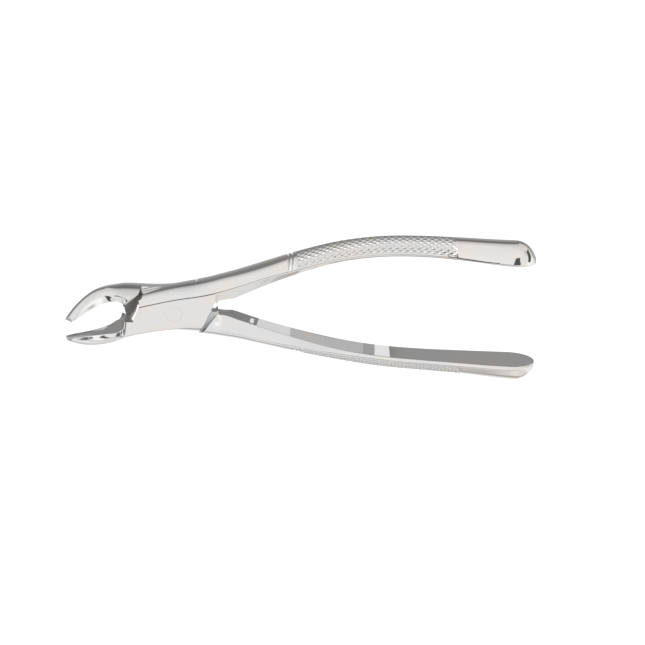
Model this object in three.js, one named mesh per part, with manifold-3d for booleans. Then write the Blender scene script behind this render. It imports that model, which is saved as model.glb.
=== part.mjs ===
import * as THREE from 'three';
import { mergeVertices } from 'three/addons/utils/BufferGeometryUtils.js';
import Module from 'manifold-3d';

// Extraction forceps: two forged halves crossed in a half-lap joint on a flush rivet.
// Frame, millimetres: the hinge axis is Z, the handles run to +X, the beaks to -X,
// the halves spread along Y, and z = 0 is the flat rear face of the joint.

const wasm = await Module();
wasm.setup();

const JOINT_THICK = 11;
const LAP_MID = JOINT_THICK / 2;
const LAP_GAP = 0.3;

const RIVET_RADIUS = 3.2;
const RIVET_CLEARANCE = 0.08;
const RIVET_SIDES = 40;
const RIVET_HEAD_CHAMFER = 0.4;
const RIVET_RECESS = 0.05;

const HANDLE_END_X = 136.6;
const HANDLE_END_LENGTH = 9.5;
const HANDLE_END_DEPTH_LENGTH = 7.5;
const HANDLE_END_LEAST = 0.012;

// Steps along a handle bunch towards its end, where it rounds off.
const HANDLE_STEP_BIAS = 0.9;

const HANDLE_STEPS = 110;
const BEAK_STEPS = 40;
const CROWN_STEPS = 14;
const CREASE_ANGLE = THREE.MathUtils.degToRad(16);
const INNER_STEPS = 4;

const FAR = 60;
const TOOL_HEIGHT = 3 * JOINT_THICK;

// Sections along one half. Across a section, u runs outward from the centre plane and w
// runs across the thickness; every section is an inner face, two side faces and a crown.
// x: place on X, z: height of the section centre, tilt: lean of the section in degrees,
// inner: u of the inner face, hollow: depth of its hollow, innerHalf: its half width,
// side: u where the crown starts, sideHalf: half thickness there, crown: rise of the crown.
// The crown meets the side faces in a shallow crease, where it starts at CREASE_ANGLE.
const section = (x, z, tilt, inner, hollow, innerHalf, side, sideHalf, crown) => (
  [x, z, tilt, inner, hollow, innerHalf, side, sideHalf, crown]
);

const HANDLE = [
  section(-17.2, 5.5, 0, -6.8, 0, 5.5, 3.0, 5.5, 3.2),
  section(-12, 5.5, 0, -6.0, 0, 5.5, 4.0, 5.5, 3.4),
  section(0, 5.5, 0, -3.0, 0, 5.5, 6.2, 5.5, 3.6),
  section(12, 5.5, 0, 0.2, 0, 5.5, 7.6, 5.5, 3.9),
  section(14, 5.5, 0, 0.8, 0, 5.5, 7.96, 5.5, 3.96),
  section(14.6, 5.5, 0, 1.0, 0, 5.5, 8.07, 5.5, 3.98),
  section(15.4, 5.5, 0, 1.3, 0, 5.2, 8.23, 5.5, 4.02),
  section(16.5, 5.5, 0, 1.7, 0, 4.4, 8.46, 5.5, 4.06),
  section(18, 5.5, 0, 2.3, 0, 3.5, 8.8, 5.5, 4.1),
  section(25, 5.5, 0, 5.3, 0, 3.25, 10.8, 5.5, 3.8),
  section(33, 5.6, 0, 8.8, 0, 3.2, 13.5, 5.5, 3.5),
  section(48, 5.8, 0, 14.7, 0, 3.6, 17.3, 5.5, 4.5),
  section(63, 6.5, 0, 19.5, 0, 4.1, 21.0, 5.1, 4.8),
  section(79, 8.5, 0, 22.2, 0, 4.2, 23.3, 4.9, 5.2),
  section(94, 11.1, 0, 23.0, 0, 4.3, 24.0, 5.0, 5.4),
  section(109, 14.4, 0, 22.9, 0, 4.8, 23.9, 5.5, 5.8),
  section(124, 18.3, 0, 22.3, 0, 5.3, 23.3, 6.2, 6.9),
  section(HANDLE_END_X, 20.9, 0, 22.0, 0, 5.4, 23.0, 6.3, 7.6),
];

const BEAK = [
  section(17, 5.5, 0, -4.3, 0, 5.5, 5.2, 5.5, 6.3),
  section(8, 5.5, 0, -4.3, 0, 5.5, 5.6, 5.5, 4.6),
  section(0, 5.5, 0, -3.5, 0, 5.5, 6.2, 5.5, 2.5),
  section(-10, 5.5, 0, -2.6, 0, 5.5, 7.2, 5.5, 2.2),
  section(-14, 5.5, 0, -2.5, 0, 5.5, 7.8, 5.5, 2.3),
  section(-16.9, 5.8, 0, -2.4, 0, 5.2, 8.2, 5.4, 2.4),
  section(-17.9, 6.0, 0, -2.3, 0, 4.9, 8.4, 5.3, 2.4),
  section(-18.5, 6.15, 0, 0.6, 0.1, 4.7, 8.55, 5.2, 2.4),
  section(-19.3, 6.4, 2, 4.4, 0.3, 4.3, 8.7, 5.0, 2.4),
  section(-21.2, 7.0, 12, 6.3, 0.5, 3.8, 9.1, 4.4, 2.4),
  section(-25, 8.5, 26, 6.9, 0.6, 2.9, 9.9, 3.2, 2.4),
  section(-29, 10.2, 35, 6.6, 0.6, 2.4, 9.8, 2.5, 2.3),
  section(-33, 12.5, 41, 5.7, 0.5, 2.1, 8.7, 2.2, 2.0),
  section(-36.7, 15.1, 44, 4.5, 0.4, 1.9, 6.9, 2.0, 1.5),
  section(-40.2, 17.8, 44, 3.5, 0.2, 1.7, 4.5, 1.6, 0.8),
];

// The rear half's beak is fuller where it backs the front half's handle in the joint.
const REAR_BEAK = [
  section(17, 5.5, 0, -4.3, 0, 5.5, 7.6, 5.5, 4.0),
  section(8, 5.5, 0, -4.3, 0, 5.5, 6.7, 5.5, 4.1),
  section(0, 5.5, 0, -3.5, 0, 5.5, 6.5, 5.5, 2.9),
  section(-10, 5.5, 0, -2.6, 0, 5.5, 7.3, 5.5, 2.3),
  ...BEAK.slice(4),
];

// Joint outlines on plan, for the layer that carries the front half's plate.
// Each line is a point and a lean from +Y towards +X, in degrees.
const PLATE_LEFT = { x: -14.4, y: 3.0, lean: 21.5 };
const SHOULDER_LEFT = { x: -16.3, y: 6.3, lean: 48 };
const PLATE_RIGHT = { x: 13.6, y: 0, lean: 24 };
const SHOULDER_RIGHT = { x: 17.1, y: 0, lean: 35 };
const FRONT_THROAT_LEDGE = -2.4;
const REAR_THROAT_LEDGE = 2.7;
const HEEL_LEDGE = 4.4;

function smoothRow(rows, travel, distance) {
  const last = rows.length - 1;
  let i = 0;
  while (i < last - 1 && travel[i + 1] <= distance) i += 1;
  const span = travel[i + 1] - travel[i];
  const t = (distance - travel[i]) / span;
  const slopes = (k) => {
    if (k === 0) return rows[0].map((v, c) => (rows[1][c] - v) / (travel[1] - travel[0]));
    if (k === last) {
      return rows[k].map((v, c) => (v - rows[k - 1][c]) / (travel[k] - travel[k - 1]));
    }
    const before = travel[k] - travel[k - 1];
    const after = travel[k + 1] - travel[k];
    return rows[k].map((v, c) => {
      const slopeIn = (v - rows[k - 1][c]) / before;
      const slopeOut = (rows[k + 1][c] - v) / after;
      return (slopeIn * after + slopeOut * before) / (before + after);
    });
  };
  const from = slopes(i);
  const to = slopes(i + 1);
  const h00 = 2 * t ** 3 - 3 * t ** 2 + 1;
  const h10 = t ** 3 - 2 * t ** 2 + t;
  const h01 = -2 * t ** 3 + 3 * t ** 2;
  const h11 = t ** 3 - t ** 2;
  return rows[i].map((v, c) => (
    h00 * v + h10 * span * from[c] + h01 * rows[i + 1][c] + h11 * span * to[c]
  ));
}

function stationRows(rows, steps, sharpen) {
  const travel = [0];
  for (let i = 1; i < rows.length; i += 1) {
    const [a, b] = [rows[i - 1], rows[i]];
    travel.push(travel[i - 1] + Math.hypot(b[0] - a[0], b[1] - a[1]));
  }
  const total = travel[travel.length - 1];
  return Array.from({ length: steps + 1 }, (_, k) => (
    smoothRow(rows, travel, total * sharpen(k / steps))
  ));
}

// Rounds off the free end of a handle: the width closes first, then the depth.
function domed(row) {
  const [x, z, tilt, inner, hollow, innerHalf, side, sideHalf, crown] = row;
  const closing = (length) => {
    const t = Math.max(0, (x - (HANDLE_END_X - length)) / length);
    return Math.sqrt(Math.max(1 - t * t, HANDLE_END_LEAST));
  };
  const wide = closing(HANDLE_END_LENGTH);
  const deep = closing(HANDLE_END_DEPTH_LENGTH);
  return [x, z, tilt, inner, hollow, innerHalf * wide,
    inner + (side - inner) * deep, sideHalf * wide, crown * deep];
}

function ring(row, sign) {
  const [x, z, tilt, inner, hollow, innerHalf, side, sideHalf, crown] = row;
  const lean = THREE.MathUtils.degToRad(tilt);
  const outline = [];
  for (let i = 0; i <= INNER_STEPS; i += 1) {
    const t = -1 + 2 * i / INNER_STEPS;
    outline.push([inner + hollow * (1 - t * t), innerHalf * t]);
  }
  const [low, wide] = [Math.sin(CREASE_ANGLE), Math.cos(CREASE_ANGLE)];
  for (let i = 0; i <= CROWN_STEPS; i += 1) {
    const angle = CREASE_ANGLE + (Math.PI - 2 * CREASE_ANGLE) * i / CROWN_STEPS;
    const rise = (Math.sin(angle) - low) / (1 - low);
    outline.push([side + crown * rise, sideHalf * Math.cos(angle) / wide]);
  }
  return outline.map(([u, w]) => (
    new THREE.Vector3(x + w * Math.sin(lean), sign * u, z + w * Math.cos(lean))
  ));
}

function loftSolid(rows, sign) {
  const rings = rows.map((row) => ring(row, sign));
  const count = rings[0].length;
  const points = rings.flat();
  const index = [];
  for (let i = 0; i + 1 < rings.length; i += 1) {
    for (let j = 0; j < count; j += 1) {
      const a = i * count + j;
      const b = i * count + (j + 1) % count;
      index.push(a, a + count, b, b, a + count, b + count);
    }
  }
  for (const [base, flip] of [[0, false], [(rings.length - 1) * count, true]]) {
    const centre = points.length;
    const middle = new THREE.Vector3();
    for (let j = 0; j < count; j += 1) middle.add(points[base + j]);
    points.push(middle.divideScalar(count));
    for (let j = 0; j < count; j += 1) {
      const [a, b] = [base + j, base + (j + 1) % count];
      index.push(centre, flip ? b : a, flip ? a : b);
    }
  }
  const geometry = new THREE.BufferGeometry().setFromPoints(points);
  geometry.setIndex(index);
  return toSolid(geometry);
}

function toSolid(geometry) {
  const bare = geometry.clone();
  bare.deleteAttribute('normal');
  bare.deleteAttribute('uv');
  const merged = mergeVertices(bare, 1e-5);
  const vertProperties = new Float32Array(merged.attributes.position.array);
  const triVerts = new Uint32Array(merged.index.array);
  let volume = 0;
  const corner = (k) => new THREE.Vector3().fromArray(vertProperties, 3 * triVerts[k]);
  for (let k = 0; k < triVerts.length; k += 3) {
    volume += corner(k).dot(corner(k + 1).cross(corner(k + 2)));
  }
  if (volume < 0) {
    for (let k = 0; k < triVerts.length; k += 3) {
      [triVerts[k], triVerts[k + 1]] = [triVerts[k + 1], triVerts[k]];
    }
  }
  return new wasm.Manifold(new wasm.Mesh({ numProp: 3, vertProperties, triVerts }));
}

function toGeometry(solid) {
  const mesh = solid.getMesh();
  const geometry = new THREE.BufferGeometry();
  geometry.setAttribute('position', new THREE.BufferAttribute(mesh.vertProperties, mesh.numProp));
  geometry.setIndex(new THREE.BufferAttribute(mesh.triVerts, 1));
  geometry.computeVertexNormals();
  return geometry;
}

function prism(outline, bottom, top) {
  const shape = new THREE.Shape(outline.map(([x, y]) => new THREE.Vector2(x, y)));
  const depth = top - bottom;
  const geometry = new THREE.ExtrudeGeometry(shape, { depth, bevelEnabled: false, steps: 1 });
  geometry.translate(0, 0, bottom);
  return toSolid(geometry);
}

const onLine = (line, y) => [
  line.x + (y - line.y) * Math.tan(THREE.MathUtils.degToRad(line.lean)), y,
];

// Removes the room the other half needs in the layer of this half's own plate: the
// other beak beyond the plate's left edge and the other handle beyond its right edge.
function plateRoom(side, bottom, top) {
  const flip = ([x, y]) => [x, side * y];
  const ledge = side > 0 ? FRONT_THROAT_LEDGE : REAR_THROAT_LEDGE;
  const left = [
    onLine(PLATE_LEFT, ledge), onLine(PLATE_LEFT, FAR),
    [-FAR, FAR], [-FAR, ledge],
  ].map(flip);
  const right = [
    onLine(PLATE_RIGHT, HEEL_LEDGE), onLine(PLATE_RIGHT, -FAR),
    [FAR, -FAR], [FAR, HEEL_LEDGE],
  ].map(flip);
  return prism(left, bottom, top).add(prism(right, bottom, top));
}

// Removes the room for the other half's plate between this half's two shoulders.
function lapRoom(side, bottom, top) {
  const outline = [
    onLine(SHOULDER_LEFT, -FAR), onLine(SHOULDER_RIGHT, -FAR),
    onLine(SHOULDER_RIGHT, FAR), onLine(SHOULDER_LEFT, FAR),
  ].map(([x, y]) => [x, side * y]);
  return prism(outline, bottom, top);
}

function pinHole(radius) {
  const hole = new THREE.CylinderGeometry(radius, radius, TOOL_HEIGHT, RIVET_SIDES);
  hole.rotateX(Math.PI / 2);
  return toSolid(hole);
}

function half(side) {
  const bunched = (t) => Math.sin(t * Math.PI / 2) ** HANDLE_STEP_BIAS;
  const handle = stationRows(HANDLE, HANDLE_STEPS, bunched);
  const beak = stationRows(side > 0 ? BEAK : REAR_BEAK, BEAK_STEPS, (t) => t);
  const forging = loftSolid(handle.map(domed), side).add(loftSolid(beak, -side));
  const front = side > 0;
  const upper = [LAP_MID - LAP_GAP / 2, TOOL_HEIGHT];
  const lower = [-JOINT_THICK, LAP_MID + LAP_GAP / 2];
  const [plateBand, lapBand] = front ? [upper, lower] : [lower, upper];
  return forging
    .subtract(plateRoom(side, ...plateBand))
    .subtract(lapRoom(-side, ...lapBand))
    .subtract(pinHole(RIVET_RADIUS + RIVET_CLEARANCE));
}

function rivet() {
  const top = JOINT_THICK - RIVET_RECESS;
  const profile = [
    [0, 0], [RIVET_RADIUS - RIVET_HEAD_CHAMFER, 0], [RIVET_RADIUS, RIVET_HEAD_CHAMFER],
    [RIVET_RADIUS, top - RIVET_HEAD_CHAMFER], [RIVET_RADIUS - RIVET_HEAD_CHAMFER, top], [0, top],
  ].map(([r, z]) => new THREE.Vector2(r, z));
  const geometry = new THREE.LatheGeometry(profile, RIVET_SIDES);
  geometry.rotateX(Math.PI / 2);
  return toSolid(geometry);
}

function steelMesh(name, solid, color, roughness) {
  const material = new THREE.MeshStandardMaterial({ color, roughness, metalness: 1 });
  const mesh = new THREE.Mesh(toGeometry(solid), material);
  mesh.name = name;
  return mesh;
}

const group = new THREE.Group();
group.name = 'extraction_forceps';
group.add(steelMesh('rear_half', half(-1), 0xc9ccd0, 0.18));
group.add(steelMesh('front_half', half(1), 0xcdd0d4, 0.17));
group.add(steelMesh('hinge_rivet', rivet(), 0xc2c5c9, 0.22));

export default group;
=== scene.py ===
import math

import bmesh
import bpy
import numpy as np
from mathutils import Matrix, Vector


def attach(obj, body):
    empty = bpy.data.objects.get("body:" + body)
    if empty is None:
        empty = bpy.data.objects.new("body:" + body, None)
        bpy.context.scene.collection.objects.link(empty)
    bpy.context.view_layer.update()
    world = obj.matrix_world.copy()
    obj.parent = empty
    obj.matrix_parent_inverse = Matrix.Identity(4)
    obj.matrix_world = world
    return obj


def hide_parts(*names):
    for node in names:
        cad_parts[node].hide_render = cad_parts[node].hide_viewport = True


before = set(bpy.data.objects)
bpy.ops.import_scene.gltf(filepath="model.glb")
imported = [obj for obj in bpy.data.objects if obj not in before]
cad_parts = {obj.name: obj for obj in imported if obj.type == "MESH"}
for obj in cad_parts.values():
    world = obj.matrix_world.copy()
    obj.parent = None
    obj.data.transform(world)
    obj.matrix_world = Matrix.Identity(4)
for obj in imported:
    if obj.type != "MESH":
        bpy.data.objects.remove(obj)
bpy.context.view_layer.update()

# Extraction forceps. Shapes are laid out in millimetres in the part's own frame: the hinge axis
# is Z, the handles run to +X, the beaks to -X. They become metres as each mesh is made.

MM = 0.001

# The joint: two plates that meet halfway through its thickness, and the rivet through both.
JOINT_THICK = 11.0
LAP_MID = JOINT_THICK / 2
LAP_GAP = 0.14
RIVET_RADIUS = 3.2
RIVET_SEAM = 0.006
RIVET_RECESS = 0.008
RIVET_EDGE = 0.05
RIVET_SIDES = 96
SHOULDER_CHAMFER = 1.2
PLATE_CHAMFER = 0.8
PLATE_CHAMFER_DEPTH = 1.5
WEDGE_OVER = 0.6
WEDGE_REACH = 20

# The rounded end of a handle, over a longer stretch in width than in depth. At the very end
# the squared share of the section that is left keeps it from closing to a point.
HANDLE_END_X = 136.6
HANDLE_END_LENGTH = 9.5
HANDLE_END_DEPTH_LENGTH = 7.5
HANDLE_END_LEFT = 0.0006

# Each half is carved up to this place on X, and the rest of its handle is welded on there.
JOINT_CUT_X = 30.0
JOINT_STEP = 0.6
BEAK_STEP = 0.22
BEAK_ROOT_X = -17
CUT_TOLERANCE = 1e-4
WELD_DISTANCE = 2e-4

# Sections along one half, as in the solid part: place on X, height of the centre, lean in
# degrees, inner face, depth of its hollow, inner half width, where the crown starts, half
# thickness there, and the rise of the crown.
HANDLE = [
    (-17.2, 5.5, 0, -6.8, 0, 5.5, 3.0, 5.5, 3.2),
    (-12, 5.5, 0, -6.0, 0, 5.5, 4.0, 5.5, 3.4),
    (0, 5.5, 0, -3.0, 0, 5.5, 6.2, 5.5, 3.6),
    (12, 5.5, 0, 0.2, 0, 5.5, 7.6, 5.5, 3.9),
    (14, 5.5, 0, 0.8, 0, 5.5, 7.96, 5.5, 3.96),
    (14.6, 5.5, 0, 1.0, 0, 5.5, 8.07, 5.5, 3.98),
    (15.4, 5.5, 0, 1.3, 0, 5.2, 8.23, 5.5, 4.02),
    (16.5, 5.5, 0, 1.7, 0, 4.4, 8.46, 5.5, 4.06),
    (18, 5.5, 0, 2.3, 0, 3.5, 8.8, 5.5, 4.1),
    (25, 5.5, 0, 5.3, 0, 3.25, 10.8, 5.5, 3.8),
    (33, 5.6, 0, 8.8, 0, 3.2, 13.5, 5.5, 3.5),
    (48, 5.8, 0, 14.7, 0, 3.6, 17.3, 5.5, 4.5),
    (63, 6.5, 0, 19.5, 0, 4.1, 21.0, 5.1, 4.8),
    (79, 8.5, 0, 22.2, 0, 4.2, 23.3, 4.9, 5.2),
    (94, 11.1, 0, 23.0, 0, 4.3, 24.0, 5.0, 5.4),
    (109, 14.4, 0, 22.9, 0, 4.8, 23.9, 5.5, 5.8),
    (124, 18.3, 0, 22.3, 0, 5.3, 23.3, 6.2, 6.9),
    (HANDLE_END_X, 20.9, 0, 22.0, 0, 5.4, 23.0, 6.3, 7.6),
]
BEAK = [
    (17, 5.5, 0, -4.3, 0, 5.5, 5.2, 5.5, 6.3),
    (8, 5.5, 0, -4.3, 0, 5.5, 5.6, 5.5, 4.6),
    (0, 5.5, 0, -3.5, 0, 5.5, 6.2, 5.5, 2.5),
    (-10, 5.5, 0, -2.6, 0, 5.5, 7.2, 5.5, 2.2),
    (-14, 5.5, 0, -2.5, 0, 5.5, 7.8, 5.5, 2.3),
    (-16.9, 5.8, 0, -2.4, 0, 5.2, 8.2, 5.4, 2.4),
    (-17.9, 6.0, 0, -2.3, 0, 4.9, 8.4, 5.3, 2.4),
    (-18.5, 6.15, 0, 0.6, 0.1, 4.7, 8.55, 5.2, 2.4),
    (-19.3, 6.4, 2, 4.4, 0.3, 4.3, 8.7, 5.0, 2.4),
    (-21.2, 7.0, 12, 6.3, 0.5, 3.8, 9.1, 4.4, 2.4),
    (-25, 8.5, 26, 6.9, 0.6, 2.9, 9.9, 3.2, 2.4),
    (-29, 10.2, 35, 6.6, 0.6, 2.4, 9.8, 2.5, 2.3),
    (-33, 12.5, 41, 5.7, 0.5, 2.1, 8.7, 2.2, 2.0),
    (-36.7, 15.1, 44, 4.5, 0.4, 1.9, 6.9, 2.0, 1.5),
    (-40.2, 17.8, 44, 3.5, 0.2, 1.7, 4.5, 1.6, 0.8),
]

REAR_BEAK = [
    (17, 5.5, 0, -4.3, 0, 5.5, 7.6, 5.5, 4.0),
    (8, 5.5, 0, -4.3, 0, 5.5, 6.7, 5.5, 4.1),
    (0, 5.5, 0, -3.5, 0, 5.5, 6.5, 5.5, 2.9),
    (-10, 5.5, 0, -2.6, 0, 5.5, 7.3, 5.5, 2.3),
    *BEAK[4:],
]

# Joint outlines on plan: a point on each line, and its lean from +Y towards +X in degrees. The
# ledges are heights on Y where each plate's outline turns to follow X.
PLATE_LEFT = (-14.4, 3.0, 21.5)
SHOULDER_LEFT = (-16.3, 6.3, 48)
PLATE_RIGHT = (13.6, 0.0, 24)
SHOULDER_RIGHT = (17.1, 0.0, 35)
THROAT_LEDGE = {1: -2.4, -1: 2.7}
HEEL_LEDGE = 4.4
FAR = 60.0
# How near a face lies to the lap's middle or the shoulder to count as lying in the notch, and where
# on X the painted shade on those faces ends.
LAP_MARK = 0.2
SHOULDER_MARK = 0.05
NOTCH_END_X = -11.8

# The cross-hatched grip on the crown of each handle, by side, with two turned rings before it
# and two faint ones after it.
GRIP = {1: (46.8, 107.4), -1: (48.7, 109.6)}
RINGS = {1: (43.9, 45.4), -1: (46.2, 47.7)}
DIAMOND_LENGTH = 2.74
DIAMONDS_AROUND = 9
SAMPLES_PER_DIAMOND = 12
GRIP_DEPTH = 0.25
GROOVE_SHARE = 0.88
GRIP_SIDE_FADE = 0.05
GRIP_START_FADE = 0.8
GRIP_STOP_FADE = 1.9
RING_DEPTH = 0.34
RING_HALF_WIDTH = 0.42
END_RINGS = (0.7, 1.7)
END_RING_DEPTH = 0.012
END_RING_HALF_WIDTH = 0.25

# A section: the angle where its crown meets its flats, how far the rounding of each corner
# reaches, and how many points go where. The crease softens along the beak.
CREASE = math.radians(16)
SOFT_CREASE_X = (-20.0, -25.0)
CROWN_POINTS = DIAMONDS_AROUND * SAMPLES_PER_DIAMOND + 1
CROWN_TRACE = 240
INNER_REACH = 0.22
CREASE_REACH = 0.45
SOFT_CREASE_REACH = 1.6
CORNER_POINTS = 5
INNER_POINTS = 7
FLAT_POINTS = 4
SUPPORT = 0.12
# Reaches and support never take more than these shares of a short side.
REACH_SHARE = 0.35
SUPPORT_SHARE = 0.08
CROWN_REACH_SHARE = 0.2
SMOOTH_STEPS = 200
SHARP_ANGLE = math.radians(32)


# Smooth rows and sections


def smooth_rows(rows):
    """A dense run of rows along a smooth line through all of them, ordered on X."""
    rows = np.array(rows, float)
    step = np.hypot(*np.diff(rows[:, :2], axis=0).T)
    secant = np.diff(rows, axis=0) / step[:, None]
    slope = np.empty_like(rows)
    slope[0], slope[-1] = secant[0], secant[-1]
    before, after = step[:-1, None], step[1:, None]
    slope[1:-1] = (secant[:-1] * after + secant[1:] * before) / (before + after)
    out = []
    for i, h in enumerate(step):
        t = np.linspace(0, 1, SMOOTH_STEPS)[:, None]
        out.append(
            (2 * t**3 - 3 * t**2 + 1) * rows[i]
            + (t**3 - 2 * t**2 + t) * h * slope[i]
            + (3 * t**2 - 2 * t**3) * rows[i + 1]
            + (t**3 - t**2) * h * slope[i + 1]
        )
    dense = np.concatenate(out)
    return dense[np.argsort(dense[:, 0], kind="stable")]


def rows_at(dense, xs):
    """Rows read off the dense run at given places on X."""
    out = np.stack([np.interp(xs, dense[:, 0], column) for column in dense.T], 1)
    out[:, 0] = xs
    return out


def domed(row):
    """Rounds off the free end of a handle: the width closes first, then the depth."""

    def closing(length):
        t = max(0.0, (row[0] - (HANDLE_END_X - length)) / length)
        return math.sqrt(max(1 - t * t, HANDLE_END_LEFT))

    wide, deep = closing(HANDLE_END_LENGTH), closing(HANDLE_END_DEPTH_LENGTH)
    out = row.copy()
    out[5] *= wide
    out[7] *= wide
    out[6] = row[3] + (row[6] - row[3]) * deep
    out[8] *= deep
    return out


def straight(start, stop, reach_start, reach_stop, inside, hollow=0.0):
    """Points on a flat side, kept off both of its corners, with a support point near each."""
    length = math.dist(start, stop)
    r0, r1 = min(reach_start, REACH_SHARE * length), min(reach_stop, REACH_SHARE * length)
    s = min(SUPPORT, SUPPORT_SHARE * length)
    between = np.linspace(r0 + s, length - r1 - s, inside + 2)[1:-1]
    at = [r0, r0 + s, *between, length - r1 - s, length - r1]
    t = np.array(at)[:, None] / length
    points = start + (stop - start) * t
    points[:, 0] += hollow * (1 - (2 * t[:, 0] - 1) ** 2)
    return points


def crown_side(side, side_half, rise, reach):
    """Points of the outer side, evenly spaced from near the front crease to near the rear one."""
    phi = np.linspace(CREASE, math.pi - CREASE, CROWN_TRACE)
    low = math.sin(CREASE)
    u = side + rise * (np.sin(phi) - low) / (1 - low)
    w = side_half * np.cos(phi) / math.cos(CREASE)
    run = np.concatenate([[0], np.cumsum(np.hypot(np.diff(u), np.diff(w)))])
    reach = min(reach, CROWN_REACH_SHARE * run[-1])
    at = np.linspace(reach, run[-1] - reach, CROWN_POINTS)
    return np.stack([np.interp(at, run, u), np.interp(at, run, w)], 1)


def corner(before, point, after):
    """Points between two flats that round a corner over."""
    t = (np.arange(1, CORNER_POINTS + 1) / (CORNER_POINTS + 1))[:, None]
    return (1 - t) ** 2 * before + 2 * t * (1 - t) * point + t * t * after


def section(row):
    """One closed section as (u, w) points, and where its crown starts in that list."""
    x, z, lean, inner, hollow, inner_half, side, side_half, rise = row
    rear_inner, front_inner = np.array([inner, -inner_half]), np.array([inner, inner_half])
    front_side, rear_side = np.array([side, side_half]), np.array([side, -side_half])
    soften_from, soften_to = SOFT_CREASE_X
    soft = float(smooth_step(0, 1, (soften_from - x) / (soften_from - soften_to)))
    reach = CREASE_REACH + (SOFT_CREASE_REACH - CREASE_REACH) * soft
    inside = straight(rear_inner, front_inner, INNER_REACH, INNER_REACH, INNER_POINTS, hollow)
    front = straight(front_inner, front_side, INNER_REACH, reach, FLAT_POINTS)
    crown = crown_side(side, side_half, rise, reach)
    rear = straight(rear_side, rear_inner, reach, INNER_REACH, FLAT_POINTS)
    parts = [
        inside, corner(inside[-1], front_inner, front[0]),
        front, corner(front[-1], front_side, crown[0]),
        crown, corner(crown[-1], rear_side, rear[0]),
        rear, corner(rear[-1], rear_inner, inside[0]),
    ]
    return np.concatenate(parts), sum(len(p) for p in parts[:4])


def smooth_step(low, high, value):
    """Goes from 0 at low to 1 at high, level at both."""
    t = np.clip((value - low) / (high - low), 0, 1)
    return t * t * (3 - 2 * t)


def ridge_cut(phase):
    """Depth, 0 to 1, of V grooves that repeat with each whole number of phase."""
    off = np.abs(phase - np.round(phase)) * 2
    return np.clip(1 - off / GROOVE_SHARE, 0, 1)


def grip_depth(side, x, travel):
    """How deep each crown point of a section at x lies under the smooth crown."""
    v = np.linspace(0, 1, CROWN_POINTS)
    across = smooth_step(0.0, GRIP_SIDE_FADE, v) * smooth_step(0.0, GRIP_SIDE_FADE, 1 - v)
    depth = np.zeros(CROWN_POINTS)
    start, stop = GRIP[side]
    if start <= x <= stop:
        along = smooth_step(0, GRIP_START_FADE, x - start)
        along *= smooth_step(0, GRIP_STOP_FADE, stop - x)
        turn, around = travel / DIAMOND_LENGTH, v * DIAMONDS_AROUND
        cut = np.maximum(ridge_cut(turn + around), ridge_cut(turn - around))
        depth = GRIP_DEPTH * cut * along * across
    rings = [(ring, RING_DEPTH, RING_HALF_WIDTH) for ring in RINGS[side]]
    rings += [(stop + gap, END_RING_DEPTH, END_RING_HALF_WIDTH) for gap in END_RINGS]
    for ring, ring_depth, half_width in rings:
        near = max(0.0, 1 - abs(x - ring) / half_width)
        depth = np.maximum(depth, ring_depth * across * near)
    return depth


# Meshes


def loft(rows, side, grip=False, start_cap=True):
    """Vertices, faces and groove depths of a body drawn through the sections of the rows."""
    points, grooves, travel = [], [], 0.0
    for k, row in enumerate(rows):
        outline, first = section(row)
        groove = np.zeros(len(outline))
        if k:
            travel += math.hypot(row[0] - rows[k - 1][0], row[1] - rows[k - 1][1])
        if grip:
            depth = grip_depth(side, row[0], travel)
            crown = outline[first:first + CROWN_POINTS]
            tangent = np.gradient(crown, axis=0)
            normal = np.stack([-tangent[:, 1], tangent[:, 0]], 1)
            normal /= np.linalg.norm(normal, axis=1)[:, None]
            groove[first:first + CROWN_POINTS] = depth
            crown -= normal * depth[:, None]
        lean = math.radians(row[2])
        u, w = outline.T
        x, z = row[0] + w * math.sin(lean), row[1] + w * math.cos(lean)
        points.append(np.stack([x, side * u, z], 1))
        grooves.append(groove)
    count = len(points[0])
    faces = []
    for i in range(len(points) - 1):
        for j in range(count):
            a, b = i * count + j, i * count + (j + 1) % count
            faces.append((a, b, b + count, a + count))
    if start_cap:
        faces.append(tuple(reversed(range(count))))
    last = (len(points) - 1) * count
    faces.append(tuple(range(last, last + count)))
    return np.concatenate(points), faces, np.concatenate(grooves)


def mesh_object(name, points, faces, grooves=None):
    """A linked object with its faces turned outwards, and groove depths kept on its points."""
    mesh = bpy.data.meshes.new(name)
    mesh.from_pydata([tuple(p) for p in points], [], faces)
    if grooves is not None:
        groove = mesh.attributes.new("groove", "FLOAT", "POINT")
        groove.data.foreach_set("value", grooves.astype(np.float32))
    work = bmesh.new()
    work.from_mesh(mesh)
    bmesh.ops.recalc_face_normals(work, faces=work.faces)
    work.to_mesh(mesh)
    work.free()
    made = bpy.data.objects.new(name, mesh)
    bpy.context.scene.collection.objects.link(made)
    return made


def prism(name, outline, bottom, top):
    """A straight-sided solid on an outline in plan."""
    points = [(x, y, z) for z in (bottom, top) for x, y in outline]
    n = len(outline)
    faces = [(i, (i + 1) % n, n + (i + 1) % n, n + i) for i in range(n)]
    faces += [tuple(reversed(range(n))), tuple(range(n, 2 * n))]
    return mesh_object(name, points, faces)


def combine(target, tool, operation):
    """Applies one boolean and removes the tool."""
    step = target.modifiers.new("combine", "BOOLEAN")
    step.object, step.operation, step.solver = tool, operation, "MANIFOLD"
    graph = bpy.context.evaluated_depsgraph_get()
    made = bpy.data.meshes.new_from_object(target.evaluated_get(graph))
    target.modifiers.clear()
    target.data = made
    bpy.data.objects.remove(tool)


def on_line(line, y):
    """The point at height y on one of the joint's outlines."""
    return (line[0] + (y - line[1]) * math.tan(math.radians(line[2])), y)


def flipped(outline, side):
    """The outline as it lies on the given side's half."""
    return [(x, side * y) for x, y in outline]


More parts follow.
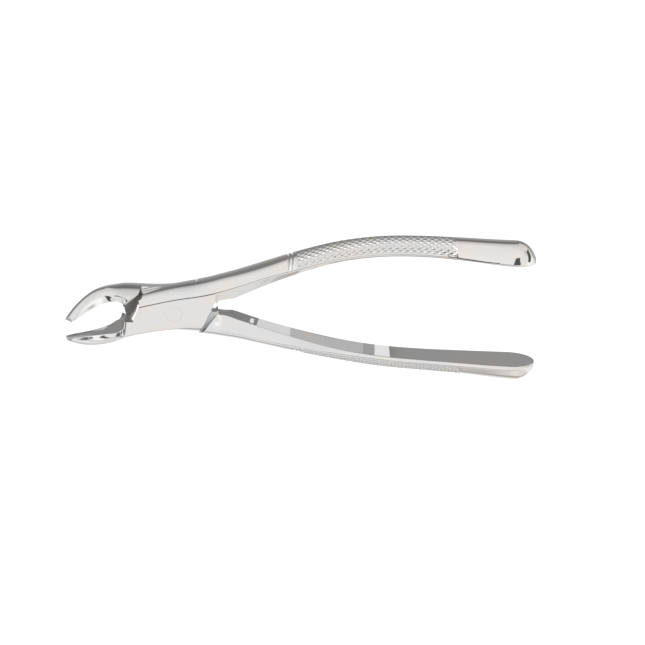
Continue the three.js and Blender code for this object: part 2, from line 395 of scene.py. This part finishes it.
def plate_room(side, bottom, top):
    """Outlines beyond this half's own plate, where the other beak and the other handle pass."""
    ledge = THROAT_LEDGE[side]
    left = [on_line(PLATE_LEFT, ledge), on_line(PLATE_LEFT, FAR), (-FAR, FAR), (-FAR, ledge)]
    right = [
        on_line(PLATE_RIGHT, HEEL_LEDGE), on_line(PLATE_RIGHT, -FAR),
        (FAR, -FAR), (FAR, HEEL_LEDGE),
    ]
    return [prism("room", flipped(outline, side), bottom, top) for outline in (left, right)]


def lap_room(side, bottom, top):
    """The room for the other half's plate between this half's two shoulders."""
    outline = [
        on_line(SHOULDER_LEFT, -FAR), on_line(SHOULDER_RIGHT, -FAR),
        on_line(SHOULDER_RIGHT, FAR), on_line(SHOULDER_LEFT, FAR),
    ]
    return prism("room", flipped(outline, side), bottom, top)


def round_solid(name, profile):
    """A solid turned about Z from (radius, height) points that start and end on the axis."""
    sides = RIVET_SIDES
    rings = profile[1:-1]
    points = [(0, 0, profile[0][1])]
    for r, z in rings:
        for k in range(sides):
            a = 2 * math.pi * k / sides
            points.append((r * math.cos(a), r * math.sin(a), z))
    points.append((0, 0, profile[-1][1]))
    faces = []
    for k in range(sides):
        after = (k + 1) % sides
        faces.append((0, 1 + after, 1 + k))
        for i in range(len(rings) - 1):
            base = 1 + i * sides
            faces.append((base + k, base + after, base + sides + after, base + sides + k))
        base = 1 + (len(rings) - 1) * sides
        faces.append((base + k, base + after, len(points) - 1))
    return mesh_object(name, points, faces)


def edge_wedge(side, line, chamfer, plate):
    """A tool that bevels one outer edge of the joint: a plate's end, or the shoulder beside it."""
    lean = math.radians(line[2])
    along = np.array([math.sin(lean), math.cos(lean)])
    away = np.array([math.cos(lean), -math.sin(lean)]) * (-1 if plate else 1)
    base = np.array(line[:2])
    depth = PLATE_CHAMFER_DEPTH if plate else chamfer
    above = JOINT_THICK + WEDGE_OVER * depth / chamfer
    profile = [
        (WEDGE_OVER, JOINT_THICK - depth - WEDGE_OVER * depth / chamfer),
        (-chamfer - WEDGE_OVER, above),
        (WEDGE_OVER, above),
    ]
    own = side if plate else -side
    front = (side > 0) == plate
    first = (THROAT_LEDGE[side] - line[1]) / along[1] if plate else -WEDGE_REACH
    points = []
    for reach in (first, WEDGE_REACH):
        for n, z in profile:
            x, y = base + along * reach + away * n
            points.append((x, own * y, z if front else JOINT_THICK - z))
    faces = [(0, 1, 2), (5, 4, 3), (0, 3, 4, 1), (1, 4, 5, 2), (2, 5, 3, 0)]
    return mesh_object("wedge", points, faces)


def handle_stations(side):
    """Places on X beyond the joint: even in the plain lengths, finer at the rings, grip and end."""
    start, stop = GRIP[side]
    first_ring = RINGS[side][0]
    dome = HANDLE_END_X - HANDLE_END_LENGTH
    runs = [  # from, to, step
        (JOINT_CUT_X, first_ring - 0.6, 0.8),
        (first_ring - 0.5, start, 0.105),
        (start, stop, DIAMOND_LENGTH / SAMPLES_PER_DIAMOND * 0.97),
        (stop, stop + 2.3, 0.125),
        (stop + 2.5, dome, 0.7),
    ]
    xs = [x for run in runs for x in np.arange(*run)]
    xs += list(dome + HANDLE_END_LENGTH * np.sin(np.linspace(0, math.pi / 2, 40)))
    return np.array(sorted(set(np.round(xs, 5))))


def carved_joint(name, side):
    """One half from its beak tip to just beyond the joint, with the lap and rivet hole cut."""
    joint_x = np.concatenate([np.arange(HANDLE[0][0], JOINT_CUT_X, JOINT_STEP), [JOINT_CUT_X]])
    points, faces, _ = loft(rows_at(smooth_rows(HANDLE), joint_x), side)
    body = mesh_object(name, points, faces)
    root, tip = BEAK[0][0], BEAK[-1][0]
    fine = np.arange(tip, BEAK_ROOT_X, BEAK_STEP)
    coarse = np.arange(BEAK_ROOT_X + 0.1, root, JOINT_STEP)
    beak = smooth_rows(BEAK if side > 0 else REAR_BEAK)
    points, faces, _ = loft(rows_at(beak, np.concatenate([fine, coarse, [root]])), -side)
    combine(body, mesh_object("beak", points, faces), "UNION")
    upper = (LAP_MID - LAP_GAP / 2, 3 * JOINT_THICK)
    lower = (-JOINT_THICK, LAP_MID + LAP_GAP / 2)
    plate_band, lap_band = (upper, lower) if side > 0 else (lower, upper)
    for room in plate_room(side, *plate_band):
        combine(body, room, "DIFFERENCE")
    combine(body, lap_room(-side, *lap_band), "DIFFERENCE")
    radius = RIVET_RADIUS + RIVET_SEAM
    low, high = -JOINT_THICK, 2 * JOINT_THICK
    hole = [(0, low), (radius, low), (radius, high), (0, high)]
    combine(body, round_solid("hole", hole), "DIFFERENCE")
    combine(body, edge_wedge(side, SHOULDER_LEFT, SHOULDER_CHAMFER, False), "DIFFERENCE")
    combine(body, edge_wedge(side, PLATE_LEFT, PLATE_CHAMFER, True), "DIFFERENCE")
    return body


def weld_handle(body, handle):
    """Opens the body at its cut, welds the handle to it there, and says what is left open."""
    work = bmesh.new()
    work.from_mesh(body.data)
    cap = [
        f for f in work.faces if all(abs(v.co.x - JOINT_CUT_X) < CUT_TOLERANCE for v in f.verts)
    ]
    bmesh.ops.delete(work, geom=cap, context="FACES")
    groove = work.verts.layers.float.new("groove")
    other = bmesh.new()
    other.from_mesh(handle.data)
    depth = other.verts.layers.float.get("groove")
    made = []
    for v in other.verts:
        copy = work.verts.new(v.co)
        copy[groove] = v[depth]
        made.append(copy)
    for f in other.faces:
        work.faces.new([made[v.index] for v in f.verts])
    other.free()
    bmesh.ops.remove_doubles(work, verts=work.verts, dist=WELD_DISTANCE)
    bmesh.ops.recalc_face_normals(work, faces=work.faces)
    open_edges = sum(1 for e in work.edges if len(e.link_faces) != 2)
    work.to_mesh(body.data)
    work.free()
    bpy.data.objects.remove(handle)
    print(body.name, len(body.data.polygons), "faces,", open_edges, "open edges")


def forceps_half(name, side):
    """One whole half: side 1 is the front half, side -1 the rear one."""
    body = carved_joint(name, side)
    rows = np.array([domed(row) for row in rows_at(smooth_rows(HANDLE), handle_stations(side))])
    points, faces, grooves = loft(rows, side, grip=True, start_cap=False)
    weld_handle(body, mesh_object(name + "_handle", points, faces, grooves))
    mark_inside(body.data, side)
    return body


def mark_inside(mesh, side):
    """Marks the faces inside the lap that get painted shade: the meeting face and the beak's
    shoulder.
    """
    inside = np.zeros(len(mesh.polygons), np.float32)
    lean = math.radians(SHOULDER_LEFT[2])
    for k, face in enumerate(mesh.polygons):
        x, y, z = face.center
        level, upright = abs(face.normal.z) > 0.95, abs(face.normal.z) < 0.05
        if level:
            inside[k] = abs(z - LAP_MID) < LAP_MARK
        elif upright:
            gap = (x - on_line(SHOULDER_LEFT, -side * y)[0]) * math.cos(lean)
            inside[k] = abs(gap) < SHOULDER_MARK
    mesh.attributes.new("inside", "FLOAT", "FACE").data.foreach_set("value", inside)


def finished(obj):
    """Millimetres to metres, smooth shading with sharp edges kept."""
    obj.data.transform(Matrix.Scale(MM, 4))
    for polygon in obj.data.polygons:
        polygon.use_smooth = True
    obj.data.set_sharp_from_angle(angle=SHARP_ANGLE)
    obj.data.update()
    return obj


# Materials

STEEL_TINT = (0.81, 0.80, 0.785)
WARM_SMUDGE = (1.03, 0.99, 0.955)
COOL_SMUDGE = (0.965, 0.985, 1.02)
# Painted shade: the grey that the knurl grooves' colour is darkened to.
GROOVE_SHADE_COLOR = (0.68, 0.67, 0.65, 1)
# Painted shade: the dark grey laid on the lap and shoulder faces in the notch by the beak.
NOTCH_SHADE_COLOR = (0.26, 0.255, 0.25, 1)
STEEL_ROUGHNESS = 0.045
RIVET_ROUGHNESS = 0.06
ROUGHNESS_SPREAD = 0.05
GROOVE_ROUGHNESS = 0.4
NOTCH_ROUGHNESS = 0.45
STREAK_SCALE = (0.06, 1.0, 1.0)


def node(tree, kind, **values):
    """A new node: plain names set its properties, names that start with in_ its inputs."""
    made = tree.nodes.new(kind)
    for key, value in values.items():
        if hasattr(made, key) and not key.startswith("in_"):
            setattr(made, key, value)
        else:
            made.inputs[key.removeprefix("in_").replace("_", " ")].default_value = value
    return made


def ramp(tree, source, stops, interpolation="LINEAR"):
    """A colour ramp on a value, from (position, colour) stops."""
    made = tree.nodes.new("ShaderNodeValToRGB")
    elements = made.color_ramp.elements
    made.color_ramp.interpolation = interpolation
    while len(elements) > 1:
        elements.remove(elements[-1])
    elements[0].position, elements[0].color = stops[0][0], (*stops[0][1], 1)
    for position, color in stops[1:]:
        elements.new(position).color = (*color, 1)
    tree.links.new(source, made.inputs["Fac"])
    return made


def scaled_sum(tree, value, scale, base):
    """value times scale, plus base."""
    total = node(tree, "ShaderNodeMath", operation="MULTIPLY_ADD")
    tree.links.new(value, total.inputs[0])
    total.inputs[1].default_value = scale
    tree.links.new(base, total.inputs[2])
    return total.outputs["Value"]


def painted(tree, share, base, color):
    """The base colour, with a flat colour over it by share."""
    mixed = node(tree, "ShaderNodeMix", data_type="RGBA")
    tree.links.new(share, mixed.inputs["Factor"])
    tree.links.new(base, mixed.inputs[6])
    mixed.inputs[7].default_value = color
    return mixed.outputs[2]


def steel(name):
    """Mirror-finished steel: polishing lines, faint smudges, rougher knurl grooves with painted
    shade, and painted shade on the lap faces in the notch.
    """
    material = bpy.data.materials.new(name)
    material.use_nodes = True
    tree = material.node_tree
    link = tree.links.new
    shader = tree.nodes["Principled BSDF"]
    shader.inputs["Metallic"].default_value = 1.0
    place = node(tree, "ShaderNodeTexCoord")

    mapping = node(tree, "ShaderNodeMapping", in_Scale=STREAK_SCALE)
    link(place.outputs["Object"], mapping.inputs["Vector"])
    lines = node(tree, "ShaderNodeTexNoise", in_Scale=900.0, in_Detail=5.0, in_Roughness=0.65)
    link(mapping.outputs["Vector"], lines.inputs["Vector"])
    smudge = node(tree, "ShaderNodeTexNoise", in_Scale=70.0, in_Detail=4.0, in_Roughness=0.55)
    link(place.outputs["Object"], smudge.inputs["Vector"])
    haze = node(tree, "ShaderNodeTexNoise", in_Scale=150.0, in_Detail=2.0)
    link(place.outputs["Object"], haze.inputs["Vector"])

    groove = node(tree, "ShaderNodeAttribute", attribute_name="groove")
    groove_shade = node(tree, "ShaderNodeMapRange", in_From_Max=0.6 * GRIP_DEPTH, in_To_Max=0.5)
    link(groove.outputs["Fac"], groove_shade.inputs["Value"])
    inside = node(tree, "ShaderNodeAttribute", attribute_name="inside")
    across = node(tree, "ShaderNodeSeparateXYZ")
    link(place.outputs["Object"], across.inputs["Vector"])
    near_beak = node(tree, "ShaderNodeMath", operation="LESS_THAN")
    link(across.outputs["X"], near_beak.inputs[0])
    near_beak.inputs[1].default_value = NOTCH_END_X * MM
    notch_shade = node(tree, "ShaderNodeMath", operation="MULTIPLY")
    link(inside.outputs["Fac"], notch_shade.inputs[0])
    link(near_beak.outputs["Value"], notch_shade.inputs[1])

    warm = tuple(c * k for c, k in zip(STEEL_TINT, WARM_SMUDGE))
    cool = tuple(c * k for c, k in zip(STEEL_TINT, COOL_SMUDGE))
    stops = [(0.36, warm), (0.5, STEEL_TINT), (0.64, cool)]
    base = ramp(tree, smudge.outputs["Fac"], stops, "EASE").outputs["Color"]
    # Painted shade: the colour darkens in the knurl grooves, the deeper the darker; the same share
    # also makes them rougher.
    base = painted(tree, groove_shade.outputs["Result"], base, GROOVE_SHADE_COLOR)
    # Painted shade on the lap and shoulder faces in the notch, up to NOTCH_END_X; these faces are
    # also made rougher.
    base = painted(tree, notch_shade.outputs["Value"], base, NOTCH_SHADE_COLOR)
    link(base, shader.inputs["Base Color"])

    spread = node(
        tree, "ShaderNodeMapRange", in_From_Min=0.35, in_From_Max=0.7,
        in_To_Min=STEEL_ROUGHNESS, in_To_Max=STEEL_ROUGHNESS + ROUGHNESS_SPREAD,
    )
    link(haze.outputs["Fac"], spread.inputs["Value"])
    rough = scaled_sum(tree, groove_shade.outputs["Result"], GROOVE_ROUGHNESS, spread.outputs["Result"])
    rough = scaled_sum(tree, notch_shade.outputs["Value"], NOTCH_ROUGHNESS, rough)
    link(rough, shader.inputs["Roughness"])

    rounded = node(tree, "ShaderNodeBevel", samples=4, in_Radius=0.00012)
    bump = node(tree, "ShaderNodeBump", in_Strength=0.10, in_Distance=0.00002)
    link(lines.outputs["Fac"], bump.inputs["Height"])
    link(rounded.outputs["Normal"], bump.inputs["Normal"])
    link(bump.outputs["Normal"], shader.inputs["Normal"])
    return material


def turned_steel(name):
    """Steel with concentric turning marks about the hinge axis."""
    material = bpy.data.materials.new(name)
    material.use_nodes = True
    tree = material.node_tree
    link = tree.links.new
    shader = tree.nodes["Principled BSDF"]
    shader.inputs["Metallic"].default_value = 1.0
    shader.inputs["Base Color"].default_value = (*STEEL_TINT, 1)
    place = node(tree, "ShaderNodeTexCoord")
    rings = node(
        tree, "ShaderNodeTexWave", wave_type="RINGS", rings_direction="Z",
        in_Scale=700.0, in_Distortion=1.5,
    )
    link(place.outputs["Object"], rings.inputs["Vector"])
    spread = node(
        tree, "ShaderNodeMapRange",
        in_To_Min=RIVET_ROUGHNESS, in_To_Max=RIVET_ROUGHNESS + ROUGHNESS_SPREAD,
    )
    link(rings.outputs["Fac"], spread.inputs["Value"])
    link(spread.outputs["Result"], shader.inputs["Roughness"])
    bump = node(tree, "ShaderNodeBump", in_Strength=0.08, in_Distance=0.00001)
    link(rings.outputs["Fac"], bump.inputs["Height"])
    link(bump.outputs["Normal"], shader.inputs["Normal"])
    return material


rear_steel = steel("rear_steel")
front_steel = steel("front_steel")
rivet_steel = turned_steel("rivet_steel")

# Pieces

front = finished(forceps_half("front_half_polished", 1))
rear = finished(forceps_half("rear_half_polished", -1))
bottom, top = RIVET_RECESS, JOINT_THICK - RIVET_RECESS
rim = RIVET_RADIUS - RIVET_EDGE
rivet = finished(round_solid("hinge_rivet_flush", [
    (0, bottom), (RIVET_RADIUS / 2, bottom), (rim, bottom), (RIVET_RADIUS, bottom + RIVET_EDGE),
    (RIVET_RADIUS, top - RIVET_EDGE), (rim, top), (RIVET_RADIUS / 2, top), (0, top),
]))

for piece, body, cad_node, slot_name, material in (
    (front, "front_body", "front_half", "front_half_steel", front_steel),
    (rear, "rear_body", "rear_half", "rear_half_steel", rear_steel),
    (rivet, "rear_body", "hinge_rivet", "rivet_steel", rivet_steel),
):
    piece.data.materials.clear()
    piece.data.materials.append(material)
    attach(piece, body)
    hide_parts(cad_node)

# Studio: a pale floor, and a room of soft light drawn by direction, as strips along the
# length of the part. The angle is taken about X, from straight up (0) towards +Y (90), and each
# stop is an angle and a brightness. The edges are where, along X, one strip gives way to the next.

ROOM_MIDDLE = [
    (-180, 0.50), (-165, 0.58), (-150, 0.50), (-136, 0.85), (-120, 0.96), (-104, 0.85),
    (-98, 0.45), (-89, 0.45), (-80, 0.88), (-40, 0.93), (-19, 0.95), (-14, 0.15), (-2, 0.15),
    (4, 0.90), (30, 0.97), (60, 0.90), (80, 0.80), (100, 0.68), (109, 0.45), (116, 0.17),
    (128, 0.20), (146, 0.34), (156, 0.37), (172, 0.44), (180, 0.50),
]
ROOM_LEFT = [
    (-180, 0.55), (-172, 1.3), (-142, 1.3), (-132, 0.9), (-112, 0.55), (-75, 0.50), (-50, 0.84),
    (-36, 0.90), (-30, 0.25), (-15, 0.25), (-9, 1.0), (0, 1.0), (40, 0.94), (75, 0.95),
    (95, 0.82), (108, 0.60), (116, 0.24), (140, 0.24), (155, 0.32), (172, 0.36), (180, 0.55),
]
ROOM_RIGHT = [
    (-180, 0.45), (-160, 0.6), (-145, 0.55), (-132, 0.8), (-126, 1.3), (-112, 1.3),
    (-105, 0.82), (-92, 0.55), (-84, 0.86), (-65, 0.86), (-50, 0.74), (-36, 1.0), (0, 0.93),
    (30, 0.93), (60, 0.82), (90, 0.76), (115, 0.70), (126, 0.50), (135, 0.18), (150, 0.20),
    (165, 0.30), (180, 0.45),
]
ROOM_FAR_RIGHT = [
    (-180, 0.7), (-160, 0.5), (-148, 0.4), (-138, 0.7), (-110, 1.0), (-66, 1.0), (-56, 0.62),
    (-49, 1.2), (-25, 1.15), (0, 0.95), (22, 0.90), (40, 0.66), (56, 0.66), (70, 0.86),
    (90, 0.84), (105, 0.68), (125, 0.60), (138, 0.34), (165, 0.28), (180, 0.7),
]
LEFT_EDGE = (-0.06, -0.30)
RIGHT_EDGE = (0.12, 0.22)
FAR_RIGHT_EDGE = (0.44, 0.58)
FLOOR_LEVEL = -0.0006
FLOOR_HALF = 6.0

world = bpy.data.worlds.new("studio")
bpy.context.scene.world = world
world.use_nodes = True
tree = world.node_tree
background = tree.nodes["Background"]
place = node(tree, "ShaderNodeTexCoord")
split = node(tree, "ShaderNodeSeparateXYZ")
tree.links.new(place.outputs["Generated"], split.inputs["Vector"])
angle = node(tree, "ShaderNodeMath", operation="ARCTAN2")
tree.links.new(split.outputs["Y"], angle.inputs[0])
tree.links.new(split.outputs["Z"], angle.inputs[1])
turn = node(tree, "ShaderNodeMapRange", in_From_Min=-math.pi, in_From_Max=math.pi)
tree.links.new(angle.outputs["Value"], turn.inputs["Value"])


def strips(stops):
    """Brightness by angle about X."""
    return ramp(tree, turn.outputs["Result"], [((a + 180) / 360, (v, v, v)) for a, v in stops])


def towards(edge, first, second):
    """Goes from the first colours to the second as the direction turns along X."""
    share = node(tree, "ShaderNodeMapRange", interpolation_type="SMOOTHSTEP")
    share.inputs["From Min"].default_value, share.inputs["From Max"].default_value = edge
    tree.links.new(split.outputs["X"], share.inputs["Value"])
    mixed = node(tree, "ShaderNodeMix", data_type="RGBA")
    tree.links.new(share.outputs["Result"], mixed.inputs["Factor"])
    tree.links.new(first, mixed.inputs[6])
    tree.links.new(second, mixed.inputs[7])
    return mixed.outputs[2]


room = towards(LEFT_EDGE, strips(ROOM_MIDDLE).outputs["Color"], strips(ROOM_LEFT).outputs["Color"])
room = towards(RIGHT_EDGE, room, strips(ROOM_RIGHT).outputs["Color"])
room = towards(FAR_RIGHT_EDGE, room, strips(ROOM_FAR_RIGHT).outputs["Color"])
seen = node(tree, "ShaderNodeLightPath")
choice = node(tree, "ShaderNodeMix", data_type="RGBA")
tree.links.new(seen.outputs["Is Camera Ray"], choice.inputs["Factor"])
tree.links.new(room, choice.inputs[6])
choice.inputs[7].default_value = (1, 1, 1, 1)
tree.links.new(choice.outputs[2], background.inputs["Color"])

floor_mesh = bpy.data.meshes.new("floor")
corners = [(FLOOR_HALF * x, FLOOR_HALF * y, 0) for x, y in ((-1, -1), (1, -1), (1, 1), (-1, 1))]
floor_mesh.from_pydata(corners, [], [(0, 1, 2, 3)])
floor = bpy.data.objects.new("floor", floor_mesh)
floor.location = (0, 0, FLOOR_LEVEL)
bpy.context.scene.collection.objects.link(floor)
pale = bpy.data.materials.new("pale_floor")
pale.use_nodes = True
surface = pale.node_tree.nodes["Principled BSDF"]
surface.inputs["Base Color"].default_value = (0.25, 0.25, 0.25, 1)
surface.inputs["Roughness"].default_value = 0.9
surface.inputs["Specular IOR Level"].default_value = 0.0
surface.inputs["Emission Color"].default_value = (1, 1, 1, 1)
surface.inputs["Emission Strength"].default_value = 0.97
floor_mesh.materials.append(pale)
floor.visible_glossy = False

# Cards lying just under the lower handle and the throat, seen only as reflections in the
# handle's inner flat and the throat's wall: outline on plan and brightness.
CARD_LEVEL = -0.5
CARDS = [
    ([(32.2, -5.6), (33.2, -4.0), (34.6, -4.6), (33.4, -6.2)], 0.95),
    ([(34.0, -8.4), (37.2, -2.8), (49.6, -8.0), (46.2, -12.8)], 0.80),
    ([(46.2, -12.8), (49.6, -8.0), (75.5, -13.8), (73.6, -20.6)], 0.55),
    ([(73.6, -20.6), (75.5, -13.8), (79.6, -14.2), (78.0, -21.0)], 0.42),
    ([(78.0, -21.0), (79.6, -14.2), (85.0, -14.2), (83.2, -21.0)], 0.95),
    ([(-30.0, -9.0), (-30.0, 3.0), (-18.5, 3.0), (-18.5, -9.0)], 0.30),
]
# Dark flags held in the air, also seen only as reflections: a brightness, and outlines in space.
FLAGS = [
    (0.05, [  # a patch on the upper beak
        [(-11.7, 9.1, 40.2), (-13.1, 5.4, 40.9), (-12.9, -8.6, 36.0)],
        [(-13.1, 5.4, 40.9), (-15.7, -8.5, 37.0), (-14.3, -14.2, 32.7), (-12.9, -8.6, 36.0)],
        [(-12.9, -8.6, 36.0), (-14.3, -14.2, 32.7), (-13.2, -13.4, 32.9), (-12.6, -10.4, 34.4)],
    ]),
    (0.12, [  # a streak on the lower beak
        [(-24.6, -12.0, 21.3), (-22.3, -12.0, 20.0), (-22.3, -13.0, 19.9), (-24.6, -12.4, 21.3)],
        [(-22.3, -13.0, 19.9), (-22.3, -12.0, 20.0), (-20.8, -13.0, 20.1), (-20.8, -14.0, 20.1)],
        [(-20.8, -14.0, 20.1), (-20.8, -13.0, 20.1), (-19.4, -14.1, 20.8), (-19.4, -15.0, 20.8)],
        [(-19.4, -15.0, 20.8), (-19.4, -14.1, 20.8), (-19.0, -13.9, 22.4), (-19.3, -14.7, 22.4)],
    ]),
    (0.10, [  # a crescent at the upper handle's tip
        [(147.5, 39.2, 20.7), (150.2, 33.7, 26.5), (146.6, 30.2, 35.2), (144.9, 38.2, 31.1)],
        [(150.2, 33.7, 26.5), (151.1, 26.4, 30.0), (148.7, 21.5, 34.4),
         (145.4, 23.5, 37.8), (146.6, 30.2, 35.2)],
    ]),
    (0.10, [  # a line along the lower edge of the upper handle's end, and a patch beside it
        [(98.7, 29.7, 30.4), (102.6, 23.2, 32.4), (103.4, 14.2, 28.5), (98.7, 17.6, 29.7)],
        [(102.6, 23.2, 32.4), (107.3, 20.0, 33.1), (110.3, 10.0, 22.7), (103.4, 14.2, 28.5)],
        [(107.3, 20.0, 33.1), (112.8, 22.1, 35.4), (113.9, 13.3, 30.9), (110.3, 10.0, 22.7)],
        [(112.8, 22.1, 35.4), (117.3, 23.3, 36.9), (117.3, 22.1, 36.8), (113.9, 13.3, 30.9)],
        [(126.7, 30.3, 37.8), (131.4, 31.0, 37.7), (132.1, 22.6, 39.2), (124.2, 19.9, 38.3)],
    ]),
]
CARD_COOLNESS = 1.01
shapes = [([(x, y, CARD_LEVEL) for x, y in outline], brightness) for outline, brightness in CARDS]
shapes += [(outline, brightness) for brightness, outlines in FLAGS for outline in outlines]
for number, (outline, brightness) in enumerate(shapes):
    card_mesh = bpy.data.meshes.new(f"card_{number}")
    corners = [(x * MM, y * MM, z * MM) for x, y, z in outline]
    card_mesh.from_pydata(corners, [], [tuple(range(len(corners)))])
    card = bpy.data.objects.new(f"card_{number}", card_mesh)
    bpy.context.scene.collection.objects.link(card)
    glow = bpy.data.materials.new(f"card_{number}")
    glow.use_nodes = True
    card_tree = glow.node_tree
    card_tree.nodes.remove(card_tree.nodes["Principled BSDF"])
    color = (brightness, brightness, brightness * CARD_COOLNESS, 1)
    light = node(card_tree, "ShaderNodeEmission", in_Color=color)
    output = card_tree.nodes["Material Output"]
    card_tree.links.new(light.outputs["Emission"], output.inputs["Surface"])
    card_mesh.materials.append(glow)
    card.visible_camera = card.visible_diffuse = card.visible_shadow = False

# One large soft light high on the beak side.
key_from = Vector((-0.66, 0.47, 0.59)).normalized()
KEY_AIM = (0.045, 0, 0.01)
KEY_DISTANCE = 0.9
key_data = bpy.data.lights.new("soft_key", "AREA")
key_data.shape = "DISK"
key_data.size = 0.40
key_data.energy = 0.60
key = bpy.data.objects.new("soft_key", key_data)
bpy.context.scene.collection.objects.link(key)
key.location = Vector(KEY_AIM) + key_from * KEY_DISTANCE
key.rotation_euler = key_from.to_track_quat("Z", "Y").to_euler()

# Camera: a long lens, tipped off the hinge axis and rolled, aimed to the right of the hinge.

LENS = 300.0
SENSOR = 36.0
FRAME_WIDTH = 245.1
PITCH = math.radians(32.0)
ROLL = math.atan(0.09)
AIM_RIGHT, AIM_UP = 56.81, -5.89
CLIP = (0.05, 30)
right = Vector((math.cos(ROLL), 0, math.sin(ROLL)))
up = Vector((math.sin(PITCH) * math.sin(ROLL), math.cos(PITCH), -math.sin(PITCH) * math.cos(ROLL)))
back = right.cross(up)
target = Vector((0, 0, LAP_MID)) + right * AIM_RIGHT + up * AIM_UP
distance = FRAME_WIDTH * LENS / SENSOR

camera = bpy.data.objects.new("camera", bpy.data.cameras.new("camera"))
bpy.context.scene.collection.objects.link(camera)
camera.data.lens = LENS
camera.data.sensor_width = SENSOR
camera.data.clip_start, camera.data.clip_end = CLIP
turned = Matrix((right, up, back)).transposed().to_4x4()
camera.matrix_world = Matrix.Translation((target + back * distance) * MM) @ turned
bpy.context.scene.camera = camera
bpy.context.scene.view_settings.view_transform = "Standard"
